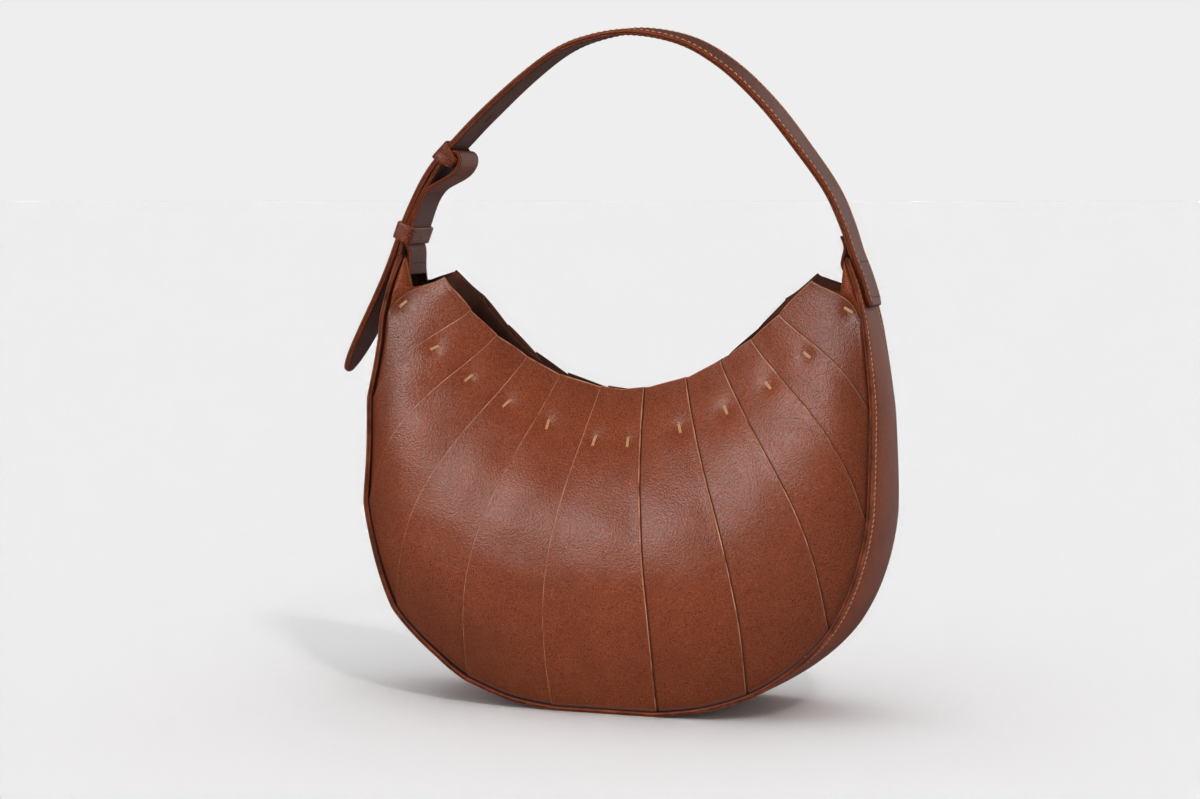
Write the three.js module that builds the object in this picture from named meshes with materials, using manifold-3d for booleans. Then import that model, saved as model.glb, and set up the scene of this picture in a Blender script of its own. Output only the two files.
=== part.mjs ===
// A half-moon shoulder bag in leather. Two bellied crescent faces carry overlapping petals that fan out from
// the mouth, a gusset runs round them, and one strap is sewn to the gusset's right end and tied at its left.
// Millimetres, +Z up. The origin is the middle of the flat bottom that the bag rests on. The front faces -Y.
import * as THREE from "three";
import { mergeVertices } from "three/addons/utils/BufferGeometryUtils.js";
import Module from "manifold-3d";

// The outline of the gusset, seen from the front
const halfWidth = 160.5;
const widestHeight = 148;
const shoulderRise = 207; // how far the upper half of the outline would reach above the widest line
const outlinePower = 2.5;
const settle = 0.9; // how much of the bottom is pressed flat
const gussetTop = 273;
const leftDent = 3.6; // how far the rim is drawn in between two seams' ends, on the left and on the right
const rightDent = 1;

// The gusset
const gussetWall = 2.6;
const gussetHalfBottom = 46;
const gussetHalfTop = 18.5;
const gussetBulge = 7.5;

// The faces
const mouthHeight = 190.5; // lowest point of the mouth
const frontPeakHeight = 257.5;
const backPeakHeight = 261;
const backDrop = 1; // how far the back's mouth lies below the front's in the middle
const backShoulder = 6; // how far the back's mouth swells above the front's curve beside its peaks
const peakHalfSpan = 117;
const frontShift = 2.4; // how far the front's peaks sit to the right of the middle
const mouthPower = 2.05;
const mouthHalfDepth = 5.6;
const peakHalfDepth = 12.5;
const bellyDepth = 36;
const bellyPower = 1.5;
const panelThickness = 1.3;
const petalThickness = 1.1;
const petalRise = 1.2; // how far a petal stands above the panel at the mouth
const cornerRise = 0.8;
const seamBow = 13.5;
const seamSag = 1.3; // power that moves a seam's deepest bend towards the rim
const lip = 1.2; // how far the gusset's rim stands past the petals
const tuckWidth = 11;
const tipClearance = 1.2;
const petalCover = 0.896; // share of the half outline that the petals cover
const stackRoom = 1.15; // room for the petals under the rim, as a share of their stacked thickness
const steepest = 1.6; // most that a layer's thickness is stretched along Y
const coverFade = 3; // how soon the room for petals runs out along a horn

// The long strap
const strapWidth = 31;
const strapThickness = 3.5;
const archStandoff = 2.5; // how far the arch's half width reaches past the gusset's tip
const archRise = 126;
const archLift = 6.5; // how far the arch's base lies above the gusset's top
const strapLean = 6; // degrees by which the strap leans to the front right of its top
const tailTaper = 42;
const tailRound = 2.4; // power of the tail's rounding
const sewnLength = 32;
const endRound = 5;
const endNarrow = 0.85; // share of the width that is left at the sewn end
const slotLength = 6;
const slotWidth = 1.8;
const slotHeight = 357;
const narrowest = 0.004; // share of the taper at which the tail's tip is cut off

// The sewn leaf, the loop strap and its two bands
const leafThickness = 1.8;
const leafWidth = 27;
const leafTop = 286;
const leafBottom = 265;
const leafStandoff = 2.2;
const loopThickness = 2.2;
const loopInnerWidth = 27;
const loopInnerEnd = 259.5;
const loopOuterEnd = 251;
const loopFlare = 9; // length over which the inner leg widens
const loopRise = 1.5; // how far the inner leg runs straight above the gusset's top
const curlReach = 13.4;
const bandThickness = 1.5;
const bandClearance = 0.7;
const bandCorner = 1;
const keeperHeight = 286.5;
const keeperLength = 10.5;
const knotHeight = 334.5;
const knotLength = 13;
const knotDepth = 8;
const knotTaper = 2.6; // how much each end of the knot draws in from its outer face to its inner one

const gap = 0.3;

// Seams between petals, from the middle of a face to its side. mouth is a share of the mouth's half span, rim
// a share of the outline that petals cover, and bow the share of seamBow by which the seam bends outwards.
const SEAMS = [
  { mouth: 0, rim: 0, bow: 0 },
  { mouth: 0.12, rim: 0.097, bow: 0.44 },
  { mouth: 0.346, rim: 0.266, bow: 0.86 },
  { mouth: 0.53, rim: 0.458, bow: 1 },
  { mouth: 0.692, rim: 0.66, bow: 0.82 },
  { mouth: 0.838, rim: 0.848, bow: 0.42 },
  { mouth: 1, rim: 1, bow: 0.35 },
];
const LAST = SEAMS.length - 1;
const [swellFrom, swellTo] = [0.2, 0.92]; // shares of the half outline between which the gusset swells
// The same for the dents of the rim, and the share of a dent that is left at a seam's end
const DENT = { from: 0.16, full: 0.3, fade: 0.86, to: 0.95, atSeam: 0.25 };
const ROWS = [0, 0.12, 0.26, 0.41, 0.56, 0.71, 0.86, 1]; // from mouth to rim

// The inner edge of a panel's horn, from the last petal's peak to the horn's tip, as shares of the way
const HORN = [
  { across: 0.45, up: -0.32 },
  { across: 0.84, up: -0.62 },
  { across: 0.93, up: 0.3 },
  { across: 1, up: 1 },
];

// The long strap's route from the tail's tip over the shoulder to its sewn end: shares of the arch's half
// width and of archRise
const ARCH = [
  { across: -1.29, up: -0.645 },
  { across: -1.18, up: -0.42 },
  { across: -1.06, up: -0.143 },
  { across: -1.005, up: 0.012 },
  { across: -0.968, up: 0.119 },
  { across: -0.888, up: 0.298 },
  { across: -0.826, up: 0.396 },
  { across: -0.741, up: 0.493 },
  { across: -0.648, up: 0.596 },
  { across: -0.434, up: 0.805 },
  { across: -0.279, up: 0.925 },
  { across: -0.161, up: 0.977 },
  { across: 0.03, up: 1.009 },
  { across: 0.262, up: 0.96 },
  { across: 0.435, up: 0.85 },
  { across: 0.608, up: 0.671 },
  { across: 0.768, up: 0.448 },
  { across: 0.893, up: 0.247 },
  { across: 0.957, up: 0.087 },
];
const LEAN = { from: 0.36, to: 0.93 }; // stretch of the strap that leans, as shares of its length

// The loop strap's inner leg and curl: run is the share of the way along the strap from the keeper to the
// knot, and out the share of curlReach by which it stands off the strap.
const CURL = [
  { run: 0.42, out: 0.34 },
  { run: 0.58, out: 0.45 },
  { run: 0.7, out: 0.7 },
  { run: 0.84, out: 0.95 },
  { run: 0.96, out: 1.01 },
  { run: 1.07, out: 0.87 },
  { run: 1.115, out: 0.6 },
  { run: 1.1, out: 0.36 },
];
const OUTER_LEG = [
  { run: 1, out: 0.24 },
  { run: 0.88, out: 0.24 },
  { run: 0.75, out: 0.29 },
  { run: 0.6, out: 0.29 },
  { run: 0.42, out: 0.25 },
];

const { lerp, clamp, degToRad } = THREE.MathUtils;
const at = (x, y, z) => new THREE.Vector3(x, y, z);

// The rim's outline in the XZ plane, from the left tip down round the bottom to the right tip
class Outline extends THREE.Curve {
  constructor() {
    super();
    this.arcLengthDivisions = 800;
    this.tipAngle = Math.asin(((gussetTop - widestHeight) / shoulderRise) ** (outlinePower / 2));
  }
  getPoint(t, target = new THREE.Vector3()) {
    const angle = Math.PI - this.tipAngle + t * (Math.PI + 2 * this.tipAngle);
    const c = Math.cos(angle);
    const s = Math.sin(angle);
    const reach = s < 0 ? widestHeight + settle : shoulderRise;
    const x = halfWidth * Math.sign(c) * Math.abs(c) ** (2 / outlinePower);
    const z = widestHeight + reach * Math.sign(s) * Math.abs(s) ** (2 / outlinePower);
    return target.set(x, 0, Math.max(z, 0));
  }
}
const outline = new Outline();
const halfOutline = outline.getLength() / 2;

// How far the rim is drawn in at a share of the half outline: most between two seams' ends, little at an end
function dent(share) {
  const covered = clamp(Math.abs(share) / petalCover, 0, 1);
  const k = SEAMS.findLastIndex((seam, i) => i < LAST && seam.rim <= covered);
  const between = Math.sin((Math.PI * (covered - SEAMS[k].rim)) / (SEAMS[k + 1].rim - SEAMS[k].rim));
  const window = Math.min((Math.abs(share) - DENT.from) / (DENT.full - DENT.from),
    (DENT.to - Math.abs(share)) / (DENT.to - DENT.fade));
  return (share < 0 ? leftDent : rightDent) * clamp(window, 0, 1) * lerp(DENT.atSeam, 1, between);
}

// A point of the rim, moved out along the outline's normal. share runs from -1 at the left tip to 1 at the
// right one.
function rimPoint(share, out) {
  const u = 0.5 + share / 2;
  const p = outline.getPointAt(clamp(u, 0, 1));
  const t = outline.getTangentAt(clamp(u, 0.0005, 0.9995));
  const reach = out - dent(share);
  return at(p.x + reach * t.z, 0, p.z - reach * t.x);
}

// How far the gusset's middle stands out past its rims
function swell(share) {
  const along = (Math.abs(share) - swellFrom) / (swellTo - swellFrom);
  return gussetBulge * Math.sin(Math.PI * clamp(along, 0, 1));
}

// Half the gusset's width at a height
function gussetHalf(z) {
  const down = (gussetTop - z) / gussetTop;
  return gussetHalfTop + (gussetHalfBottom - gussetHalfTop) * down * (1.5 - 0.5 * down);
}

// A closed body between two grids of points with the same rows and columns. middle is the column at which the
// squares' diagonals change hands, so that a symmetric body has symmetric facets, and ring joins the last
// column to the first.
function shell(outer, inner, { middle = 0, ring = false } = {}) {
  const rows = outer.length;
  const columns = outer[0].length;
  const points = [...outer.flat(), ...inner.flat()];
  const first = rows * columns;
  const faces = [];
  const quad = (a, b, c, d) => faces.push(a, b, c, a, c, d);
  const next = (c) => (c + 1) % columns;
  for (let r = 0; r < rows - 1; r++)
    for (let c = 0; c < (ring ? columns : columns - 1); c++) {
      const [here, below] = [r * columns, (r + 1) * columns];
      const corners = [here + c, here + next(c), below + next(c), below + c];
      if (c < middle) corners.push(corners.shift());
      quad(...corners);
      quad(...[0, 3, 2, 1].map((i) => first + corners[i]));
    }
  const wall = (border) =>
    border.slice(1).forEach((b, i) => quad(b, border[i], first + border[i], first + b));
  const top = Array.from({ length: columns }, (_, c) => c);
  const bottom = top.map((c) => (rows - 1) * columns + c).reverse();
  const side = (c) => Array.from({ length: rows }, (_, r) => r * columns + c);
  wall(ring ? [...top, 0] : top);
  wall(ring ? [...bottom, bottom[0]] : bottom);
  if (!ring) {
    wall(side(columns - 1));
    wall(side(0).reverse());
  }
  const geometry = new THREE.BufferGeometry();
  const numbers = points.flatMap((p) => [p.x, p.y, p.z]);
  geometry.setAttribute("position", new THREE.Float32BufferAttribute(numbers, 3));
  geometry.setIndex(faces);
  if (volume(points, faces) < 0) geometry.index.array.reverse();
  return geometry;
}

function volume(points, faces) {
  let sum = 0;
  for (let i = 0; i < faces.length; i += 3) {
    const [a, b, c] = [points[faces[i]], points[faces[i + 1]], points[faces[i + 2]]];
    sum += a.dot(b.clone().cross(c)) / 6;
  }
  return sum;
}

// One face of the bag. column counts seams from the middle, so 1 is the first seam and 6 the last, past which
// the panel narrows to its horn's tip at 7, and row runs from 0 at the mouth to 1 at the rim.
class Face {
  constructor(side, { peakHeight, drop, shoulder, shift }) {
    this.side = side; // -1 in front and 1 at the back
    this.mouth = { height: mouthHeight - drop, rise: peakHeight - mouthHeight + drop, shoulder, shift };
    this.tip = rimPoint(1 - tipClearance / halfOutline, -gussetWall - 3 * gap);
  }
  seamValue(column, key) {
    const c = clamp(Math.abs(column), 0, LAST);
    const k = Math.min(Math.floor(c), LAST - 1);
    return lerp(SEAMS[k][key], SEAMS[k + 1][key], c - k);
  }
  mouthPoint(column) {
    const share = this.seamValue(column, "mouth");
    const { height, rise, shoulder, shift } = this.mouth;
    const x = Math.sign(column) * share * peakHalfSpan + shift * share ** 2;
    const z = height + rise * share ** mouthPower + shoulder * Math.sin(Math.PI * share ** 4);
    const horn = this.hornPoint(Math.abs(column) - LAST);
    return at(lerp(x, Math.sign(column) * this.tip.x, horn.across), 0, lerp(z, this.tip.z, horn.up));
  }
  hornPoint(share) {
    const i = clamp(share, 0, 1) * HORN.length;
    const k = Math.min(Math.floor(i), HORN.length - 1);
    const from = k ? HORN[k - 1] : { across: 0, up: 0 };
    return { across: lerp(from.across, HORN[k].across, i - k), up: lerp(from.up, HORN[k].up, i - k) };
  }
  rimShare(column) {
    const c = Math.abs(column);
    const last = 1 - tipClearance / halfOutline;
    const share = c <= LAST ? petalCover * this.seamValue(c, "rim") : lerp(petalCover, last, c - LAST);
    return Math.sign(column) * share;
  }
  // The panel's outer surface
  surface(column, row) {
    const a = this.mouthPoint(column);
    const b = rimPoint(this.rimShare(column), -gussetWall - gap);
    const along = b.clone().sub(a);
    const bend = Math.sin(Math.PI * clamp(row, 0, 1) ** seamSag);
    const horn = clamp(Math.abs(column) - LAST, 0, 1);
    const bow = Math.sign(column) * seamBow * this.seamValue(column, "bow") * (1 - horn) * bend;
    const outwards = at(-along.z, 0, along.x).normalize();
    const p = a.clone().addScaledVector(along, row).addScaledVector(outwards, bow);
    p.y = this.side * this.halfDepth(column, row, b.z);
    return p;
  }
  halfDepth(column, row, rimHeight) {
    const share = this.seamValue(column, "mouth");
    const horn = clamp(Math.abs(column) - LAST, 0, 1);
    const covered = clamp(1 - coverFade * horn, 0, 1);
    const stack = stackRoom * (2 * gap + 2 * petalThickness);
    const rim = gussetHalf(rimHeight) - lip - covered * stack;
    const mouth = lerp(lerp(mouthHalfDepth, peakHalfDepth, share ** 2), gussetHalfTop - lip, horn);
    const belly = bellyDepth * (1 - share ** 2) ** bellyPower;
    return lerp(mouth, rim, row) + belly * Math.sin(Math.PI * clamp(row, -0.1, 1));
  }
  // How much farther along Y a layer lies than it does square to the surface
  stretch(column, row) {
    const d = 0.02;
    const across = this.surface(column + d, row).sub(this.surface(column - d, row));
    const down = this.surface(column, row + d).sub(this.surface(column, row - d));
    return 1 / Math.abs(across.cross(down).normalize().y);
  }
  // A point at a height above the panel's outer surface
  layer(column, row, height) {
    const p = this.surface(column, row);
    const c = clamp(column, -LAST, LAST);
    p.y += this.side * height * Math.min(this.stretch(c, clamp(row, 0.02, 0.98)), steepest);
    return p;
  }
  // The row of a petal's straight top edge between seams k and k + 1, above the panel's mouth edge
  topRow(column, k) {
    if (Math.abs(column) < k) return 0;
    const [from, to, p] = [k, k + 1, Math.abs(column)].map((c) => this.mouthPoint(c));
    const f = (p.x - from.x) / (to.x - from.x);
    const rise = lerp(from.z, to.z, f) - p.z + petalRise + cornerRise * f;
    return -rise / to.distanceTo(rimPoint(this.rimShare(k + 1), 0));
  }
}

// The hidden edge of the petal outside seam k, tucked under the petal inside it
function tuck(face, k) {
  const width = rimPoint(face.rimShare(k), 0).distanceTo(rimPoint(face.rimShare(k - 1), 0));
  return k - Math.min(tuckWidth / width, 0.3);
}

// Columns of one side of a face, from the middle outwards
function columnsOf(face) {
  const columns = [0];
  for (let k = 1; k <= LAST; k++) columns.push((k - 1 + tuck(face, k)) / 2, tuck(face, k), k);
  return columns;
}

const mirrored = (columns) => [...columns.slice(1).map((c) => -c).reverse(), ...columns];
const hornColumns = HORN.map((_, i) => LAST + (i + 1) / HORN.length);

function panel(face) {
  const columns = mirrored([...columnsOf(face), ...hornColumns]);
  const grid = (height) => ROWS.map((row) => columns.map((c) => face.layer(c, row, height)));
  return shell(grid(0), grid(-panelThickness), { middle: (columns.length - 1) / 2 });
}

// A petal lies on the panel at its hidden edge and climbs onto its outer neighbour at its visible one.
function petal(face, columns, levelAt, topRowAt, middle) {
  const step = petalThickness + gap;
  const grid = (top) =>
    ROWS.map((row, i) =>
      columns.map((c) => {
        const height = gap + levelAt(c) * step + (top ? petalThickness : 0);
        return face.layer(c, i ? row : topRowAt(c), height);
      }),
    );
  return shell(grid(true), grid(false), { middle });
}

function middlePetal(face) {
  const columns = mirrored(columnsOf(face).filter((c) => c <= 1));
  return petal(face, columns, () => 1, (c) => face.topRow(c, 0), (columns.length - 1) / 2);
}

// The petal between seams k and k + 1, on the left for sign -1
function sidePetal(face, k, sign) {
  const hidden = tuck(face, k);
  const columns = columnsOf(face).filter((c) => c >= hidden && c <= k + 1);
  const level = (c) => (k + 1 === LAST ? 0 : clamp((Math.abs(c) - k) / (tuck(face, k + 1) - k), 0, 1));
  return petal(face, columns.map((c) => sign * c), level, (c) => face.topRow(c, k), 0);
}

// The gusset's stations are the faces' columns, so their facets run side by side.
function gusset(face) {
  const columns = mirrored([...columnsOf(face), ...hornColumns]);
  const across = [-1, -0.6, -0.2, 0.2, 0.6, 1];
  const grid = (depth) =>
    columns.map((c, i) => {
      const share = i === 0 ? -1 : i === columns.length - 1 ? 1 : face.rimShare(c);
      return across.map((a) => {
        const p = rimPoint(share, swell(share) * (1 - a * a) - depth);
        p.y = a * gussetHalf(rimPoint(share, 0).z);
        return p;
      });
    });
  return shell(grid(0), grid(gussetWall));
}

function route(points) {
  const corners = points.map(([x, z]) => at(x, 0, z));
  return new THREE.CatmullRomCurve3(corners, false, "centripetal");
}

// A flat strap along a route in the XZ plane. width gives its width at a distance from each end, and lean the
// angle at a share of its length by which it turns to the front.
function ribbon(line, thickness, steps, width, lean = () => 0) {
  const length = line.getLength();
  const grid = (side) =>
    Array.from({ length: steps + 1 }, (_, i) => {
      const u = i / steps;
      const middle = line.getPointAt(u);
      const half = width(u * length, (1 - u) * length) / 2;
      const outwards = outward(line, u);
      const [c, s] = [Math.cos(lean(u)), Math.sin(lean(u))];
      const across = at(0, c, 0).addScaledVector(outwards, s);
      const through = at(0, -s, 0).addScaledVector(outwards, c);
      return [-half, half].map((w) =>
        middle.clone().addScaledVector(across, w).addScaledVector(through, (side * thickness) / 2),
      );
    });
  return shell(grid(1), grid(-1));
}

// The direction square to a route, away from the bag's middle on the long strap
function outward(line, u) {
  const t = line.getTangentAt(u);
  return at(-t.z, 0, t.x);
}

function offset(line, u, distance) {
  const p = line.getPointAt(u).addScaledVector(outward(line, u), -distance);
  return [p.x, p.z];
}

// How far along a strap the part left or right of its top reaches a height
function reachOf(line, z, left) {
  let [low, high] = [0, 1];
  for (let i = 0; i < 40; i++) {
    const u = (low + high) / 2;
    const p = line.getPointAt(u);
    const past = left ? p.x > 0 || p.z > z : p.x > 0 && p.z < z;
    if (past) high = u;
    else low = u;
  }
  return high;
}

function strapRoute() {
  const archHalf = rimPoint(1, archStandoff).x;
  const archBase = gussetTop + archLift;
  const points = ARCH.map(({ across, up }) => [across * archHalf, archBase + up * archRise]);
  // The sewn end lies on the outside of the gusset.
  for (let i = 0; i < 4; i++) {
    const share = belowTip((i * sewnLength) / 3);
    const p = rimPoint(share, strapThickness / 2 + gap + swell(share));
    points.push([p.x, p.z]);
  }
  return route(points);
}

function strap(wasm, line) {
  const width = (fromTail, fromEnd) => {
    const tail = clamp(fromTail / tailTaper, narrowest, 1);
    const end = clamp(fromEnd / endRound, 0, 1);
    return strapWidth * Math.sqrt(1 - (1 - tail) ** tailRound) * lerp(endNarrow, 1, end);
  };
  const lean = (u) => {
    const along = clamp((u - LEAN.from) / (LEAN.to - LEAN.from), 0, 1);
    return degToRad(strapLean) * Math.sin(Math.PI * along);
  };
  const body = ribbon(line, strapThickness, 90, width, lean);
  const u = reachOf(line, slotHeight, true);
  const t = line.getTangentAt(u);
  const slot = new THREE.BoxGeometry(slotLength, slotWidth, 3 * strapThickness);
  slot.rotateY(-Math.atan2(t.z, t.x));
  slot.translate(...line.getPointAt(u).toArray());
  return cut(wasm, body, slot);
}

function cut(wasm, body, tool) {
  const [from, off] = [body, tool].map((geometry) => {
    const bare = geometry.clone();
    for (const name of Object.keys(bare.attributes)) if (name !== "position") bare.deleteAttribute(name);
    const { attributes, index } = mergeVertices(bare, 1e-4);
    const vertProperties = attributes.position.array;
    const triVerts = new Uint32Array(index.array);
    return new wasm.Manifold(new wasm.Mesh({ numProp: 3, vertProperties, triVerts }));
  });
  const made = from.subtract(off).getMesh();
  const geometry = new THREE.BufferGeometry();
  geometry.setAttribute("position", new THREE.Float32BufferAttribute(made.vertProperties, 3));
  geometry.setIndex(new THREE.BufferAttribute(made.triVerts, 1));
  return geometry;
}

// A share of the outline for a distance below one of its tips
const belowTip = (drop) => 1 - drop / halfOutline;

// The leaf inside the gusset's right end, which lies under the strap above it
function leaf(line) {
  const under = (strapThickness + leafThickness) / 2 + gap;
  const inside = gussetWall + gap + leafThickness / 2 + leafStandoff;
  const heights = [leafTop, (leafTop + gussetTop) / 2];
  const points = heights.map((z) => offset(line, reachOf(line, z, false), under));
  for (const drop of [0.35, 1]) {
    const p = rimPoint(belowTip(drop * (gussetTop - leafBottom)), -inside);
    points.push([p.x, p.z]);
  }
  return ribbon(route(points), leafThickness, 8, () => leafWidth);
}

// How far the loop strap's two legs stand off the middle of the long strap
const outerLeg = (strapThickness + loopThickness) / 2 + gap;
const innerLeg = outerLeg + loopThickness + gap;

// The short strap: up from inside the gusset's left end, round the curl, down between long strap and gusset
function loopRoute(line) {
  const keeper = reachOf(line, keeperHeight, true);
  const knot = reachOf(line, knotHeight, true);
  const half = keeperLength / 2 / line.getLength();
  const beside = ({ run, out }) => offset(line, lerp(keeper, knot, run), out * curlReach);
  const hang = rimPoint(-1, -gussetWall - 2 * gap - loopThickness / 2);
  const heights = [loopInnerEnd, (gussetTop + loopInnerEnd) / 2, gussetTop + loopRise];
  const points = heights.map((z) => [hang.x, z]);
  for (const side of [-1, 0, 1]) points.push(offset(line, keeper + side * half, innerLeg));
  points.push(...CURL.map(beside), ...OUTER_LEG.map(beside));
  for (const side of [1, 0, -1]) points.push(offset(line, keeper + side * half, outerLeg));
  for (const drop of [0.1, 0.5, 1]) {
    const p = rimPoint(-belowTip(drop * (gussetTop - loopOuterEnd)), loopThickness / 2 + gap);
    points.push([p.x, p.z]);
  }
  return route(points);
}

function loopStrap(line) {
  const flareStart = gussetTop - loopInnerEnd;
  const width = (fromStart) =>
    lerp(loopInnerWidth, strapWidth, clamp((fromStart - flareStart) / loopFlare, 0, 1));
  return ribbon(loopRoute(line), loopThickness, 84, width);
}

// A band round the straps at a height, with room for depth below the long strap's middle. Towards its inner
// face each end draws in by taper.
function band(line, height, length, depth, taper) {
  const middle = reachOf(line, height, true);
  const [low, high] = [-strapThickness / 2 - bandClearance, depth + bandClearance];
  const half = strapWidth / 2 + gap;
  const loop = (end, grow) => {
    const [top, bottom, side] = [low - grow, high + grow, half + grow];
    const cut = bandCorner + grow / 2;
    const corners = [
      [top + cut, -side], [bottom - cut, -side], [bottom, cut - side], [bottom, side - cut],
      [bottom - cut, side], [top + cut, side], [top, side - cut], [top, cut - side],
    ];
    return corners.map(([d, y]) => {
      const drawn = length / 2 - (taper * (d - low)) / (high - low);
      const [x, z] = offset(line, middle + (end * drawn) / line.getLength(), d);
      return at(x, y, z);
    });
  };
  const grid = (grow) => [-1, 0, 1].map((end) => loop(end, grow));
  return shell(grid(bandThickness), grid(0), { ring: true });
}

const leather = (color, roughness) => new THREE.MeshStandardMaterial({ color, roughness, metalness: 0 });
const materials = {
  petal: leather(0x86452c, 0.45),
  panel: leather(0x7a3f29, 0.5),
  gusset: leather(0x7c4532, 0.42),
  strap: leather(0x76443a, 0.4),
};

const bag = new THREE.Group();
function add(name, geometry, material) {
  const mesh = new THREE.Mesh(geometry, materials[material]);
  mesh.name = name;
  bag.add(mesh);
}

const wasm = await Module();
wasm.setup();

const faces = {
  front: new Face(-1, { peakHeight: frontPeakHeight, drop: 0, shoulder: 0, shift: frontShift }),
  back: new Face(1, { peakHeight: backPeakHeight, drop: backDrop, shoulder: backShoulder, shift: 0 }),
};
add("gusset", gusset(faces.front), "gusset");
for (const [name, face] of Object.entries(faces)) {
  add(`${name}_panel`, panel(face), "panel");
  add(`${name}_petal_middle`, middlePetal(face), "petal");
  for (const [side, sign] of [["left", -1], ["right", 1]])
    for (let k = 1; k < LAST; k++) add(`${name}_petal_${side}_${k}`, sidePetal(face, k, sign), "petal");
}

const line = strapRoute();
add("strap", strap(wasm, line), "strap");
add("strap_leaf", leaf(line), "strap");
add("loop_strap", loopStrap(line), "strap");
add("knot_band", band(line, knotHeight, knotLength, knotDepth, knotTaper), "strap");
const keeperDepth = innerLeg + loopThickness / 2;
add("keeper", band(line, keeperHeight, keeperLength, keeperDepth, 0), "strap");

export default bag;
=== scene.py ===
"""Looks for the half-moon shoulder bag, built in the places of its solids. Lengths are in millimetres until
a mesh is made, with +Z up. Columns count a face's seams from its middle, and rows run from mouth to rim."""
import math

import bpy
import numpy as np
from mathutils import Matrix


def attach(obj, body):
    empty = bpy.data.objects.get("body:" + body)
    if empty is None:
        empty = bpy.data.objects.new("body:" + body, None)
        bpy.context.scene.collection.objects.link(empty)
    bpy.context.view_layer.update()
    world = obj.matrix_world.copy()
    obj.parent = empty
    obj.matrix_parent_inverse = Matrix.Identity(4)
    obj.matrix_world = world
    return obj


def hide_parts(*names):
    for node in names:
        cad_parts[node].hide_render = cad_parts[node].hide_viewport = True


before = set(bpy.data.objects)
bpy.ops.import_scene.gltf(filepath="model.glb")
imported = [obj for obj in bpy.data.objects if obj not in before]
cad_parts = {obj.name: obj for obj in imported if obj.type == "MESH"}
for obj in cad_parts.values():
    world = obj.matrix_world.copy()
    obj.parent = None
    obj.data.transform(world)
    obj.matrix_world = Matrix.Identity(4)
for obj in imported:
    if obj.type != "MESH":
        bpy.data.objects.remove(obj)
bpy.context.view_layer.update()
MM = 0.001

# The outline and the gusset
HALF_WIDTH = 160.5
WIDEST_HEIGHT = 148
SHOULDER_RISE = 207
OUTLINE_POWER = 2.5
SETTLE = 0.9
GUSSET_TOP = 273
LEFT_DENT, RIGHT_DENT = 3.6, 1
DENT_FROM, DENT_FULL, DENT_FADE, DENT_TO = 0.16, 0.3, 0.86, 0.95
DENT_AT_SEAM = 0.5
GUSSET_WALL = 2.6
GUSSET_HALF_BOTTOM = 46
GUSSET_HALF_TOP = 18.5
GUSSET_BULGE = 7.5
SWELL_FROM, SWELL_TO = 0.2, 0.92

# The faces
MOUTH_HEIGHT = 190.5
FRONT_PEAK_HEIGHT = 257.5
BACK_PEAK_HEIGHT = 261
BACK_DROP = 1
BACK_SHOULDER = 6
PEAK_HALF_SPAN = 117
FRONT_SHIFT = 2.4
MOUTH_POWER = 2.05
MOUTH_HALF_DEPTH = 5.6
PEAK_HALF_DEPTH = 12.5
BELLY_DEPTH = 36
BELLY_POWER = 1.5
PANEL_THICKNESS = 1.3
PETAL_THICKNESS = 1.1
PETAL_RISE = 1.2
CORNER_RISE = 0.8
SEAM_BOW = 13.5
SEAM_SAG = 1.3
LIP = 1.2
TUCK_WIDTH = 11
TIP_CLEARANCE = 1.2
PETAL_COVER = 0.896
STACK_ROOM = 1.15
STEEPEST = 1.6
COVER_FADE = 3
GAP = 0.3

# The straps
STRAP_WIDTH = 31
STRAP_THICKNESS = 3.5
ARCH_STANDOFF = 2.5
ARCH_RISE = 126
ARCH_LIFT = 6.5
STRAP_LEAN = 6
TAIL_TAPER = 42
TAIL_ROUND = 2.4
SEWN_LENGTH = 32
END_ROUND = 5
END_NARROW = 0.85
SLOT_LENGTH = 6
SLOT_WIDTH = 1.8
SLOT_HEIGHT = 357
LEAF_THICKNESS = 1.8
LEAF_WIDTH = 27
LEAF_TOP = 286
LEAF_BOTTOM = 265
LEAF_STANDOFF = 2.2
SEAM_INSET = 2.8  # from a strap's edge to its stitches
STRAP_CROWN = 0.15
LOOP_THICKNESS = 2.2
LOOP_INNER_WIDTH = 27
LOOP_INNER_END = 259.5
LOOP_OUTER_END = 251
LOOP_FLARE = 9
LOOP_RISE = 1.5
CURL_REACH = 13.4
LINING_END = (-122.5, 309)  # where the loop's lining ends below its curl
END_CROSSES = (5.5, 27)  # from the sewn end to the stitches across it
HIGH_CROSS, LOW_CROSS = 1.5, 0.55  # below the lining's end, and a share of the loop's part inside the bag
BAND_THICKNESS = 1.5
BAND_CLEARANCE = 0.7
KEEPER_HEIGHT = 286.5
KEEPER_LENGTH = 10.5
KNOT_HEIGHT = 334.5
KNOT_LENGTH = 13
KNOT_DEPTH = 8
KNOT_TAPER = 2.6
FOLD_AT, FOLD_SLANT, FOLD_WIDTH = 0.8, 1.7, 0.4  # shares of the knot's half length
LAP_AT, LAP_WIDTH = 0.72, 0.04  # shares of the keeper's way across the straps

# Seams from the middle of a face to its side, as shares of the mouth's half span, of the covered rim and of
# SEAM_BOW
SEAM_MOUTH = (0, 0.12, 0.346, 0.53, 0.692, 0.838, 1)
SEAM_RIM = (0, 0.097, 0.266, 0.458, 0.66, 0.848, 1)
SEAM_BEND = (0, 0.44, 0.86, 1, 0.82, 0.42, 0.35)
LAST = len(SEAM_MOUTH) - 1

# The horn's inner edge, from the last petal's peak to the tip
HORN_ACROSS = (0, 0.45, 0.84, 0.93, 1)
HORN_UP = (0, -0.32, -0.62, 0.3, 1)

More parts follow.
